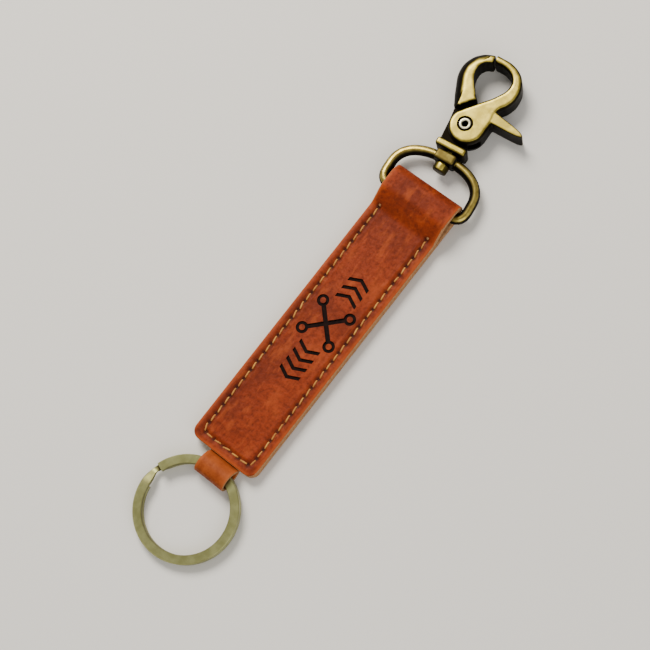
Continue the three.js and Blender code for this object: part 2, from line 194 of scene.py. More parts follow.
def block(x0, x1, y0, y1, z0, z1, round_by=0.0, segments=3):
    middle = ((x0 + x1) / 2 * MM, (y0 + y1) / 2 * MM, (z0 + z1) / 2 * MM)
    bpy.ops.mesh.primitive_cube_add(size=1, location=middle)
    obj = bpy.context.object
    obj.scale = ((x1 - x0) * MM, (y1 - y0) * MM, (z1 - z0) * MM)
    settle(obj)
    if round_by:
        edit(obj)
        bpy.ops.mesh.select_all(action="SELECT")
        bpy.ops.mesh.bevel(offset=round_by * MM, segments=segments, affect="EDGES")
        done(obj)
    return obj


def drum(radius, z0, z1, x=0.0, y=0.0, sides=64):
    bpy.ops.mesh.primitive_cylinder_add(vertices=sides, radius=radius * MM, depth=(z1 - z0) * MM,
                                        location=(x * MM, y * MM, (z0 + z1) / 2 * MM))
    obj = bpy.context.object
    return settle(obj)


def outline(points, closed=True, steps=8):
    """A drawn line through (x, y) points: smooth, or a corner where a third value says so."""
    curve = bpy.data.curves.new("outline", "CURVE")
    curve.dimensions = "3D"
    curve.resolution_u = steps
    spline = curve.splines.new("BEZIER")
    spline.bezier_points.add(len(points) - 1)
    for knot, (x, y, *corner) in zip(spline.bezier_points, points):
        knot.co = (x * MM, y * MM, 0)
        knot.handle_left_type = knot.handle_right_type = "VECTOR" if corner else "AUTO"
    spline.use_cyclic_u = closed
    obj = bpy.data.objects.new("outline", curve)
    bpy.context.collection.objects.link(obj)
    only(obj)
    bpy.ops.object.convert(target="MESH")
    obj = bpy.context.object
    edit(obj)
    bpy.ops.mesh.select_all(action="SELECT")
    bpy.ops.mesh.remove_doubles(threshold=0.01 * MM)
    done(obj)
    return obj


def plate(points, half_depth, round_by=0.0, segments=4, steps=8, share=None):
    """An outline filled, extruded and rounded along both rims, in full or by each edge's share."""
    obj = outline(points, steps=steps)
    edit(obj)
    bpy.ops.mesh.select_all(action="SELECT")
    bpy.ops.transform.translate(value=(0, 0, -half_depth * MM))
    bpy.ops.mesh.edge_face_add()
    bpy.ops.mesh.extrude_region_move(TRANSFORM_OT_translate={"value": (0, 0, 2 * half_depth * MM)})
    bpy.ops.mesh.select_all(action="SELECT")
    bpy.ops.mesh.normals_make_consistent(inside=False)
    done(obj)
    if round_by:
        weights = obj.data.attributes.new("bevel_weight_edge", "FLOAT", "EDGE")
        for edge in obj.data.edges:
            a, b = (obj.data.vertices[index].co for index in edge.vertices)
            if abs(a.z - b.z) < 1e-6:
                middle = (a + b) / 2 / MM
                weights.data[edge.index].value = share(middle.x, middle.y) if share else 1.0
        modify(obj, "BEVEL", limit_method="WEIGHT", width=round_by * MM, segments=segments,
               use_clamp_overlap=False)
    return obj


def lathe(points, closed, steps=56):
    """A profile of (radius, height) points spun round the Z axis."""
    obj = outline([(r, h, True) for r, h in points], closed=closed)
    obj.rotation_euler = (math.pi / 2, 0, 0)
    settle(obj)
    edit(obj)
    bpy.ops.mesh.select_all(action="SELECT")
    bpy.ops.mesh.spin(steps=steps, angle=2 * math.pi, center=(0, 0, 0), axis=(0, 0, 1))
    bpy.ops.mesh.select_all(action="SELECT")
    bpy.ops.mesh.remove_doubles(threshold=0.005 * MM)
    bpy.ops.mesh.normals_make_consistent(inside=False)
    done(obj)
    return obj


# ---------------------------------------------------------------- material tools
def linear(red, green, blue):
    """A colour as read off a screen, 0 to 255, in the renderer's linear values."""
    def channel(value):
        value /= 255
        return value / 12.92 if value <= 0.04045 else ((value + 0.055) / 1.055) ** 2.4
    return (channel(red), channel(green), channel(blue), 1.0)


class Finish:
    """A material under construction, with short names for the nodes that it uses."""

    def __init__(self, name, **fixed):
        self.material = bpy.data.materials.new(name)
        self.material.use_nodes = True
        self.tree = self.material.node_tree
        self.shader = self.tree.nodes["Principled BSDF"]
        for socket, value in fixed.items():
            self.shader.inputs[socket.replace("_", " ")].default_value = value
        self.place = self.node("TexCoord").outputs["Object"]

    def node(self, kind, props=None, **inputs):
        made = self.tree.nodes.new("ShaderNode" + kind)
        for name, value in (props or {}).items():
            setattr(made, name, value)
        for name, value in inputs.items():
            self.feed(made.inputs[name.replace("_", " ")], value)
        return made

    def feed(self, socket, value):
        if isinstance(value, bpy.types.NodeSocket):
            self.tree.links.new(value, socket)
        else:
            socket.default_value = value

    def spots(self, scale, detail=3.0, roughness=0.5, stretch=None):
        where = self.place
        if stretch:
            where = self.node("Mapping", Vector=where, Scale=stretch).outputs["Vector"]
        made = self.node("TexNoise", Vector=where, Scale=scale, Detail=detail, Roughness=roughness)
        return made.outputs["Fac"]

    def cells(self, scale):
        return self.node("TexVoronoi", Vector=self.place, Scale=scale).outputs["Distance"]

    def attribute(self, name):
        return self.node("Attribute", {"attribute_name": name}).outputs["Fac"]

    def math(self, how, a, b=0.0):
        made = self.node("Math", {"operation": how})
        self.feed(made.inputs[0], a)
        self.feed(made.inputs[1], b)
        return made.outputs[0]

    def span(self, value, low, high, to_low=0.0, to_high=1.0):
        made = self.node("MapRange", {"interpolation_type": "SMOOTHSTEP"}, Value=value)
        for name, number in zip(("From Min", "From Max", "To Min", "To Max"), (low, high, to_low, to_high)):
            made.inputs[name].default_value = number
        return made.outputs["Result"]

    def blend(self, factor, a, b):
        made = self.node("Mix", {"data_type": "RGBA"})
        self.feed(made.inputs[0], factor)
        self.feed(made.inputs[6], a)
        self.feed(made.inputs[7], b)
        return made.outputs[2]

    def bump(self, height, strength, distance, under=None):
        made = self.node("Bump", Height=height, Strength=strength, Distance=distance * MM)
        if under is not None:
            self.feed(made.inputs["Normal"], under)
        return made.outputs["Normal"]

    def finish(self, color, roughness, normal):
        self.feed(self.shader.inputs["Base Color"], color)
        self.feed(self.shader.inputs["Roughness"], roughness)
        self.feed(self.shader.inputs["Normal"], normal)
        return self.material


def leather_face(name, dark, middle, light):
    """Waxed, burnished leather: mottled tone, fine pores, creases, darker along the seam, with painted
    shade in its needle holes.
    """
    m = Finish(name, Specular_IOR_Level=0.1)
    cloud = m.spots(70, detail=4, roughness=0.55)
    mottle = m.spots(800, detail=6, roughness=0.68)
    streak = m.spots(330, detail=4, roughness=0.6, stretch=(1.0, 0.4, 1.0))
    color = m.blend(m.span(mottle, 0.24, 0.64), dark, middle)
    color = m.blend(m.span(cloud, 0.36, 0.6, 0.6, 0.0), color, dark)
    color = m.blend(m.span(cloud, 0.55, 0.72, 0.0, 0.35), color, light)
    color = m.blend(m.span(streak, 0.5, 0.72, 0, 0.5), color, light)
    color = m.blend(m.math("MULTIPLY", m.attribute("rim"), 0.85), color, light)
    # Darker along the seam line, and painted shade in the needle holes.
    color = m.blend(m.math("MULTIPLY", m.attribute("seam"), 0.9), color, linear(44, 16, 8))
    scratch = m.span(m.spots(900, detail=4, roughness=0.7, stretch=(1.0, 0.12, 1.0)), 0.56, 0.7, 0, 0.3)
    color = m.blend(scratch, color, light)
    rough = m.span(mottle, 0.3, 0.7, 0.62, 0.46)
    grain = m.bump(m.cells(2400), 0.18, 0.12)
    creases = m.bump(mottle, 0.55, 0.25, grain)
    return m.finish(color, rough, creases)


def raw_edge(name, dark, light):
    """A cut leather edge: pale packed fibres with a dark skin line."""
    m = Finish(name, Specular_IOR_Level=0.25)
    fibre = m.spots(2600, detail=5, roughness=0.7, stretch=(1.0, 0.6, 1.5))
    color = m.blend(m.span(fibre, 0.2, 0.85), dark, light)
    return m.finish(color, 0.85, m.bump(fibre, 0.6, 0.25))


def stamp_finish():
    m = Finish("burnt_stamp", Specular_IOR_Level=0.08)
    char = m.spots(900, detail=4)
    color = m.blend(m.span(char, 0.35, 0.75), linear(14, 6, 4), linear(30, 14, 9))
    return m.finish(color, 0.75, m.bump(char, 0.4, 0.15))


def waxed_thread():
    m = Finish("waxed_thread", Specular_IOR_Level=0.4, Sheen_Weight=0.2)
    fibre = m.spots(3200, detail=3)
    tone = m.spots(260, detail=2)
    color = m.blend(m.span(tone, 0.35, 0.7), linear(166, 104, 26), linear(196, 136, 50))
    color = m.blend(m.span(fibre, 0.55, 0.8, 0, 0.5), color, linear(120, 68, 22))
    return m.finish(color, 0.62, m.bump(fibre, 0.5, 0.08))


def patina_brass(name, bright, warm, dark, polish, worn):
    """Antique brass: tops rubbed bright, sides and hollows nearly black, worn along edges; a per-vertex
    mark adds patina in recesses and painted shade on some faces.

    Polish is the range of upward facing over which the dark layer is rubbed away.
    """
    m = Finish(name, Metallic=1.0)
    facing = m.node("SeparateXYZ", Vector=m.node("TexCoord").outputs["Normal"]).outputs["Z"]
    rubbed = m.span(m.math("ABSOLUTE", facing), polish[0], polish[1])
    cloud = m.spots(420, detail=4, roughness=0.6)
    rubbed = m.math("ADD", rubbed, m.math("MULTIPLY", m.math("SUBTRACT", cloud, 0.5), 0.7))
    rim = m.span(m.node("NewGeometry").outputs["Pointiness"], 0.5, 0.57, 0, 0.75 * worn)
    rubbed = m.math("MAXIMUM", m.span(rubbed, 0.08, 0.8), rim)
    # The per-vertex mark darkens recesses with patina, and on some pieces paints shade onto faces picked by
    # their side or tilt.
    rubbed = m.math("MULTIPLY", rubbed, m.math("SUBTRACT", 1.0, m.attribute("patina_and_painted_shade")))
    scuff = m.spots(1500, detail=3, stretch=(1.0, 0.12, 1.0))
    metal = m.blend(m.span(cloud, 0.35, 0.7), warm, bright)
    color = m.blend(rubbed, dark, metal)
    rough = m.math("ADD", m.span(rubbed, 0, 1, 0.5, 0.27), m.math("MULTIPLY", scuff, 0.16))
    pits = m.bump(m.spots(2400, detail=3), 0.12, 0.06)
    return m.finish(color, rough, m.bump(scuff, 0.10, 0.05, pits))


def spring_wire():
    m = Finish("spring_wire", Metallic=1.0)
    drawn = m.spots(2500, detail=2)
    color = m.blend(drawn, linear(120, 120, 116), linear(165, 164, 158))
    return m.finish(color, m.span(drawn, 0.3, 0.7, 0.25, 0.4), m.bump(drawn, 0.1, 0.04))


def give(obj, *materials):
    obj.data.materials.clear()
    for made in materials:
        obj.data.materials.append(made)


STRAP_SKIN = leather_face("strap_leather", linear(86, 28, 10), linear(134, 48, 14), linear(168, 74, 28))
TAB_SKIN = leather_face("tab_leather", linear(112, 46, 16), linear(142, 65, 23), linear(168, 84, 36))
EDGE_FIBRE = raw_edge("raw_edge", linear(128, 74, 38), linear(196, 152, 104))
STAMP = stamp_finish()
THREAD = waxed_thread()
BRASS = patina_brass("antique_brass", bright=linear(180, 160, 72), warm=linear(146, 129, 54),
                     dark=linear(20, 16, 10), polish=(0.74, 0.995), worn=0.25)
WIRE_BRASS = patina_brass("wire_brass", bright=linear(190, 168, 84), warm=linear(150, 128, 60),
                          dark=linear(22, 18, 13), polish=(0.42, 0.98), worn=0.0)
RING_BRASS = patina_brass("ring_brass", bright=linear(176, 175, 118), warm=linear(157, 156, 100),
                          dark=linear(62, 54, 30), polish=(0.2, 0.75), worn=1.0)
RIVET_BRASS = patina_brass("rivet_brass", bright=linear(214, 208, 176), warm=linear(186, 178, 142),
                           dark=linear(24, 20, 14), polish=(0.3, 0.9), worn=0.0)
SPRING_STEEL = spring_wire()


# ---------------------------------------------------------------- the seam's path
def seam_distance(x, y):
    """How far a point of the strap lies from the line of stitches."""
    x = abs(x)
    turn_x = SEAM_X - SEAM_CORNER
    turn_y = SEAM_END + SEAM_CORNER
    if y > SEAM_TOP:
        return math.hypot(x - SEAM_X, y - SEAM_TOP)
    if y > turn_y:
        return abs(x - SEAM_X)
    if x < turn_x:
        return abs(y - SEAM_END)
    return abs(math.hypot(x - turn_x, y - turn_y) - SEAM_CORNER)


def seam_point(travel):
    """The place and heading on the seam, a distance along it from the top of the left row."""
    run = SEAM_TOP - SEAM_END - SEAM_CORNER
    arc = math.pi / 2 * SEAM_CORNER
    across = 2 * (SEAM_X - SEAM_CORNER)
    turn_x = SEAM_X - SEAM_CORNER
    turn_y = SEAM_END + SEAM_CORNER
    if travel < run:
        return -SEAM_X, SEAM_TOP - travel, -math.pi / 2
    travel -= run
    if travel < arc:
        angle = math.pi + travel / SEAM_CORNER
        x = -turn_x + SEAM_CORNER * math.cos(angle)
        return x, turn_y + SEAM_CORNER * math.sin(angle), angle + math.pi / 2
    travel -= arc
    if travel < across:
        return -turn_x + travel, SEAM_END, 0.0
    travel -= across
    if travel < arc:
        angle = 1.5 * math.pi + travel / SEAM_CORNER
        x = turn_x + SEAM_CORNER * math.cos(angle)
        return x, turn_y + SEAM_CORNER * math.sin(angle), angle + math.pi / 2
    return SEAM_X, turn_y + travel - arc, math.pi / 2


def needle_holes():
    """Where the needle went through, before the first stitch and after every stitch."""
    holes = []
    for index in range(STITCH_COUNT + 1):
        travel = min(index * SEAM_LENGTH / STITCH_COUNT, SEAM_LENGTH - 0.001)
        holes.append(seam_point(travel)[:2])
    return holes


SEAM_LENGTH = 2 * (SEAM_TOP - SEAM_END - SEAM_CORNER) + math.pi * SEAM_CORNER + 2 * (SEAM_X - SEAM_CORNER)
STITCH_COUNT = round(SEAM_LENGTH / STITCH_PITCH)
HOLES = needle_holes()


def hole_distance(x, y):
    return min(math.hypot(x - hx, y - hy) for hx, hy in HOLES)


# ---------------------------------------------------------------- strap
def strap_strip():
    """One strip: the back layer, spun over the fold, then eased down into the front layer."""
    obj = block(-HALF_WIDTH, HALF_WIDTH, LOWER_END, FOLD_Y, 0, LEATHER)
    edit(obj)
    pick("FACE", lambda f: f.normal.y > 0.9)
    bpy.ops.mesh.spin(steps=18, angle=-math.pi, center=(0, FOLD_Y * MM, FOLD_MIDDLE * MM), axis=(1, 0, 0))
    top = FOLD_MIDDLE * 2 - LEATHER / 2
    bow, lean = SLOPE_BOW, SLOPE_LEAN
    bpy.ops.mesh.extrude_region_move(TRANSFORM_OT_translate={"value": (0, (CREST_Y - FOLD_Y) * MM, 0)})
    bpy.ops.mesh.spin(steps=7, angle=-lean, center=(0, CREST_Y * MM, (top - bow) * MM), axis=(1, 0, 0))
    drop = top - (FACE - LEATHER / 2)
    fall = drop - 2 * bow * (1 - math.cos(lean))
    run = fall / math.tan(lean)
    bpy.ops.mesh.extrude_region_move(TRANSFORM_OT_translate={"value": (0, -run * MM, -fall * MM)})
    settle_y = CREST_Y - 2 * bow * math.sin(lean) - run
    bpy.ops.mesh.spin(steps=7, angle=lean, center=(0, settle_y * MM, (FACE - LEATHER / 2 + bow) * MM),
                      axis=(1, 0, 0))
    bpy.ops.mesh.extrude_region_move(TRANSFORM_OT_translate={"value": (0, (LOWER_END - settle_y) * MM, 0)})
    bpy.ops.mesh.select_all(action="SELECT")
    bpy.ops.mesh.normals_make_consistent(inside=False)
    return obj


def round_strap(obj):
    """Lower corners rounded in plan, then every cut edge eased."""
    pick("EDGE", lambda e: all(near(abs(v.co.x), HALF_WIDTH) and near(v.co.y, LOWER_END) for v in e.verts)
         and abs(e.verts[0].co.z - e.verts[1].co.z) > MM)
    bpy.ops.mesh.bevel(offset=CORNER * MM, segments=8, affect="EDGES")
    pick("EDGE", lambda e: bend_angle(e) > 1.2)
    bpy.ops.mesh.bevel(offset=RIM_EASE * MM, segments=4, affect="EDGES")
    done(obj)


def slice_up(obj, axis, places):
    """Score the piece across with straight cuts, to give its faces something to bend along."""
    edit(obj)
    for place in places:
        bpy.ops.mesh.select_all(action="SELECT")
        spot = [0, 0, 0]
        spot[axis] = place * MM
        facing = [0, 0, 0]
        facing[axis] = 1
        bpy.ops.mesh.bisect(plane_co=spot, plane_no=facing)
    done(obj)


def press_leather(obj):
    """The seam pulls the leather down, the holes pucker it, and the body of it stays plump."""
    for vert in obj.data.vertices:
        x, y, z = vert.co / MM
        if y > SEAM_TOP + 4:
            continue
        pull = math.exp(-(seam_distance(x, y) / 0.85) ** 2)
        hole = hole_distance(x, y)
        pucker = math.exp(-(hole / 0.58) ** 2)
        pillow = math.exp(-((seam_distance(x, y) - 1.1) / 0.5) ** 2) * (1 - math.exp(-(hole / 1.25) ** 2))
        plump = max(0.0, 1 - (x / SEAM_X) ** 2) * min(1.0, max(0.0, (y - SEAM_END) / 6))
        wave = noise.noise(Vector((x / 9, y / 9, 3)))
        if z > FACE - 0.2:
            rise = 0.16 * plump - 0.24 * pull - 0.34 * pucker + 0.14 * pillow + 0.07 * wave
            vert.co.z += rise * MM
        elif z < 0.2:
            vert.co.z += (0.22 * pull + 0.15 * pucker) * MM


def shade_leather(obj, edge_of):
    """Keep, on each vertex, how near it is to a cut rim and to the seam's holes."""
    rim = obj.data.attributes.new("rim", "FLOAT", "POINT")
    seam = obj.data.attributes.new("seam", "FLOAT", "POINT")
    for index, vert in enumerate(obj.data.vertices):
        x, y, z = vert.co / MM
        rim.data[index].value = math.exp(-(edge_of(x, y, z) / 0.7) ** 2)
        # The seam mark: a slight darkening along the seam line, and strong painted shade at each needle
        # hole.
        if -0.4 < z < FACE + 1 and y < SEAM_TOP + 2:
            seam.data[index].value = min(1.0, 0.25 * math.exp(-(seam_distance(x, y) / 1.0) ** 2)
                                         + 1.5 * math.exp(-(hole_distance(x, y) / 0.55) ** 2))


def skin_and_edge(obj, skin, edge, is_edge):
    obj.data.materials.append(skin)
    obj.data.materials.append(edge)
    for face in obj.data.polygons:
        face.material_index = 1 if is_edge(face) else 0


def stamp_tool(points, x, y, turn=0.0):
    tool = plate([(*point, True) for point in points], 1.0)
    place = Matrix.Translation((x * MM, y * MM, (FACE - STAMP_DEPTH + 1.0) * MM))
    return settle(tool, place @ Matrix.Rotation(turn, 4, "Z"))


def ring_tool(outer, inner, x, y):
    height = (FACE - STAMP_DEPTH + 1.0) * MM
    tool = settle(drum(outer, -1, 1, x, y, 24), Matrix.Translation((0, 0, height)))
    cut(tool, drum(inner, 0, 8, x, y, 24))
    return tool


def stamp_ornament():
    """A plain geometric stamp: two crossed bars with a ring on each end, between two bands of chevrons."""
    middle_x, middle_y = 0.4, -1.0
    reach, half_bar = 5.6, 0.66
    ring_out, ring_in = 1.75, 0.85
    end = (reach + 1.1) * math.sqrt(0.5)
    cross = None
    for turn in (math.pi / 4, -math.pi / 4):
        bar = stamp_tool([(-reach, -half_bar), (reach, -half_bar), (reach, half_bar), (-reach, half_bar)],
                         middle_x, middle_y, turn)
        if cross is None:
            cross = bar
        else:
            cut(cross, bar, how="UNION")
    for side_x in (-1, 1):
        for side_y in (-1, 1):
            ring = ring_tool(ring_out, ring_in, middle_x + side_x * end, middle_y + side_y * end)
            cut(cross, ring, how="UNION")
    tools = [cross]
    chevron = [(-3.4, -0.5), (0, 1.1), (3.4, -0.5), (3.4, -1.6), (0, 0.0), (-3.4, -1.6)]
    chevron_x = 0.95
    for y in (8.2, 11.0, 13.8):
        tools.append(stamp_tool(chevron, chevron_x, y))
    for y in (-9.9, -12.8, -15.7, -18.6):
        tools.append(stamp_tool(chevron, chevron_x, y, math.pi))
    stamp = join(*tools)
    give(stamp, STAMP)
    return stamp


def is_raw(face):
    """The strip's cut edges, and its unfinished side, which faces inward all round the fold."""
    x, y, z = face.center / MM
    if abs(face.normal.x) > 0.75 or abs(x) > HALF_WIDTH - 0.3 and abs(face.normal.z) < 0.75:
        return True
    if y > FOLD_Y:
        return math.hypot(y - FOLD_Y, z - FOLD_MIDDLE) < FOLD_MIDDLE - LEATHER + 0.15
    if z < FACE / 2:
        return face.normal.z > 0.5 or face.normal.y < -0.75
    return face.normal.z < -0.5 or face.normal.y < -0.75


def make_strap():
    obj = strap_strip()
    round_strap(obj)
    fine = [SEAM_X + step * 0.32 for step in range(-5, 6)]
    slice_up(obj, 0, [-x for x in fine] + fine + [step * 1.1 for step in range(-6, 7)])
    slice_up(obj, 1, [LOWER_END + 0.6 + step * 0.42 for step in range(196)])
    press_leather(obj)
    skin_and_edge(obj, STRAP_SKIN, EDGE_FIBRE, is_raw)
    cut(obj, stamp_ornament())

    def edge_of(x, y, z):
        return min(HALF_WIDTH - abs(x), y - LOWER_END)
    shade_leather(obj, edge_of)
    smooth(obj, 40)
    named(obj, "folded_strap")
    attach(obj, "strap")
    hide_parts("strap")


# ---------------------------------------------------------------- stitches
def stitch():
    """One stitch of two-ply thread that dives into the leather at both ends."""
    bpy.ops.mesh.primitive_cylinder_add(vertices=14, radius=THREAD_R * MM, depth=STITCH_LENGTH * MM,
                                        rotation=(0, math.pi / 2, 0))
    obj = settle(bpy.context.object)
    edit(obj)
    pick("EDGE", lambda e: abs(e.verts[0].co.x - e.verts[1].co.x) > MM)
    bpy.ops.mesh.subdivide(number_cuts=17)
    done(obj)
    for vert in obj.data.vertices:
        x, y, z = vert.co / MM
        along = x / (STITCH_LENGTH / 2)
        round_angle = math.atan2(z, y)
        ply = 1 + 0.2 * abs(math.cos(round_angle - 3.4 * x)) - 0.1
        slim = 1 - 0.35 * abs(along) ** 3
        vert.co.y = y * ply * slim * 1.1 * MM
        vert.co.z = (z * ply * slim * 0.85 - 0.5 * abs(along) ** 5) * MM
    return obj


def sew(name, height, facing):
    """The whole row of stitches on one side of the strap, each a little out of true."""
    first = stitch()
    rows = []
    for index in range(STITCH_COUNT):
        x, y, heading = seam_point((index + 0.5) * SEAM_LENGTH / STITCH_COUNT)
        copy = first.copy()
        copy.data = first.data.copy()
        bpy.context.collection.objects.link(copy)
        wobble = noise.noise(Vector((index * 1.7, facing, 0)))
        lean = heading + 0.12 + 0.35 * wobble
        rise = 0.14 * max(0.0, y - 33.0) ** 2 if facing > 0 else 0.0
        place = Matrix.Translation((x * MM, y * MM, (height + rise - 0.04 * abs(wobble)) * MM))
        place = place @ Matrix.Rotation(lean, 4, "Z") @ Matrix.Scale(1 + 0.22 * wobble, 4, (1, 0, 0))
        if facing < 0:
            place = place @ Matrix.Rotation(math.pi, 4, "X")
        copy.matrix_world = place
        rows.append(copy)
    obj = join(*rows)
    bpy.data.objects.remove(first)
    settle(obj)
    give(obj, THREAD)
    smooth(obj, 60)
    named(obj, name + "_stitches")
    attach(obj, "strap")
    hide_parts(name)


# ---------------------------------------------------------------- ring tab
def make_ring_tab():
    """A strip sewn in at both ends and folded round the split ring."""
    inner = 0.66                 # between the middles of its two sewn ends
    loop_top, loop_bottom = 5.45, 0.55
    edge_y = LOWER_END
    line = [(edge_y + 7.5, FACE / 2 + inner / 2), (edge_y - 0.1, FACE / 2 + inner / 2),
            (edge_y - 1.5, 4.2), (edge_y - 3.0, loop_top), (-52.2, loop_top),
            (-53.65, 4.3), (-53.65, 1.7), (-52.2, loop_bottom), (edge_y - 3.0, loop_bottom),
            (edge_y - 1.2, 1.05), (edge_y - 0.1, FACE / 2 - inner / 2),
            (edge_y + 7.5, FACE / 2 - inner / 2)]
    obj = outline(line, closed=False, steps=10)
    obj.matrix_world = Matrix.Translation(((TAB_X - TAB_WIDTH / 2) * MM, 0, 0)) @ Matrix(
        ((0, 0, 1, 0), (1, 0, 0, 0), (0, 1, 0, 0), (0, 0, 0, 1)))
    settle(obj)
    edit(obj)
    bpy.ops.mesh.select_all(action="SELECT")
    bpy.ops.mesh.extrude_region_move(TRANSFORM_OT_translate={"value": (TAB_WIDTH * MM, 0, 0)})
    bpy.ops.mesh.select_all(action="SELECT")
    bpy.ops.mesh.normals_make_consistent(inside=False)
    done(obj)
    modify(obj, "SOLIDIFY", thickness=TAB_THICK * MM, offset=0, use_even_offset=True)
    for vert in obj.data.vertices:
        if vert.co.y > (edge_y - 0.2) * MM:
            layer = 1 if vert.co.z > FACE / 2 * MM else -1
            middle = (FACE / 2 + layer * inner / 2) * MM
            vert.co.z = middle + (vert.co.z - middle) * (inner - 0.04) / TAB_THICK
    edit(obj)
    pick("EDGE", lambda e: bend_angle(e) > 1.2)
    bpy.ops.mesh.bevel(offset=0.16 * MM, segments=2, affect="EDGES")
    done(obj)
    slice_up(obj, 0, [TAB_X + step * 0.8 for step in range(-5, 6)])
    skin_and_edge(obj, TAB_SKIN, EDGE_FIBRE, lambda f: abs(f.normal.x) > 0.75)
    shade_leather(obj, lambda x, y, z: TAB_WIDTH / 2 - abs(x - TAB_X))
    smooth(obj, 50)
    named(obj, "folded_tab")
    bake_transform(obj)
    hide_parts("ring_tab")


# ---------------------------------------------------------------- split ring
def make_split_ring():
    """Flat wire wound twice, with the joggle that carries it from one turn to the other."""
    half_h, half_w, ease = RING_TURN / 2, RING_BAND / 2, 0.22
    section = bpy.data.curves.new("section", "CURVE")
    section.dimensions = "2D"
    spline = section.splines.new("BEZIER")
    corners = [(-half_w, -half_h + ease), (-half_w, half_h - ease),
               (-half_w + ease, half_h), (half_w - ease, half_h),
               (half_w, half_h - ease), (half_w, -half_h + ease),
               (half_w - ease, -half_h), (-half_w + ease, -half_h)]
    spline.bezier_points.add(len(corners) - 1)
    for knot, (x, y) in zip(spline.bezier_points, corners):
        knot.co = (x * MM, y * MM, 0)
        knot.handle_left_type = knot.handle_right_type = "VECTOR"
    spline.use_cyclic_u = True
    section.resolution_u = 1
    profile = bpy.data.objects.new("section", section)
    bpy.context.collection.objects.link(profile)

    wire = bpy.data.curves.new("wire", "CURVE")
    wire.dimensions = "3D"
    wire.twist_mode = "Z_UP"
    path = wire.splines.new("POLY")
    end_gap = 1.2
    turned_all = 720 - JOGGLE_SPAN - 2 * end_gap
    count = 260
    path.points.add(count)
    for index, knot in enumerate(path.points):
        turned = turned_all * index / count
        along = (turned - (360 - JOGGLE_SPAN - end_gap)) / JOGGLE_SPAN
        rise = min(1.0, max(0.0, along))
        rise = rise * rise * (3 - 2 * rise)
        thin = 1 - 0.45 * math.exp(-((along - 0.2) / 0.35) ** 2)
        middle_r = RING_OUTER - RING_BAND / 2 * thin
        angle = math.radians(JOGGLE_START + JOGGLE_SPAN + end_gap + turned)
        knot.co = (middle_r * math.cos(angle) * MM, middle_r * math.sin(angle) * MM,
                   RING_STEP * (rise - 0.5) * MM, 1)
        knot.radius = thin
    wire.bevel_mode = "OBJECT"
    wire.bevel_object = profile
    wire.use_fill_caps = True
    obj = bpy.data.objects.new("wire", wire)
    bpy.context.collection.objects.link(obj)
    only(obj)
    bpy.ops.object.convert(target="MESH")
    obj = bpy.context.object
    bpy.data.objects.remove(profile)
    edit(obj)
    bpy.ops.mesh.select_all(action="SELECT")
    bpy.ops.mesh.remove_doubles(threshold=0.005 * MM)
    bpy.ops.mesh.normals_make_consistent(inside=False)
    done(obj)

    def unpolished_and_shaded(at, facing):
        """Darker on the lower turn round the upper turn's cut end, painted shade on the joggle's tilted
        top, and, less so, darker on the ring's inner side.
        """
        past_joggle = math.degrees(math.atan2(at.y, at.x)) % 360 - JOGGLE_START
        # Darker on the lower turn round the upper turn's cut end.
        if facing.z > -0.5 and at.z < 0.1:
            return 0.75 * (4 - abs(past_joggle - 0.5))
        # Painted shade on the joggle's tilted top, to hold down its highlight.
        if 1 < past_joggle < JOGGLE_SPAN and facing.z > 0:
            return 0.55
        return -0.6 * facing.dot(at.xy.normalized().to_3d())
    patina_and_painted_shade(obj, unpolished_and_shaded)
    half_height = (RING_STEP + RING_TURN) / 2
    loop_z = 2.95
    lift = math.asin((loop_z - half_height) / (2 * RING_OUTER - RING_BAND / 2))
    rest_z = RING_OUTER * math.sin(lift) + half_height * math.cos(lift) + 0.02
    settle(obj, Matrix.Translation((TAB_X * MM, RING_Y * MM, rest_z * MM)) @ Matrix.Rotation(lift, 4, "X"))
    give(obj, RING_BRASS)
    smooth(obj, 30)
    named(obj, "key_ring")
    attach(obj, "key_ring")
    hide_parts("split_ring")


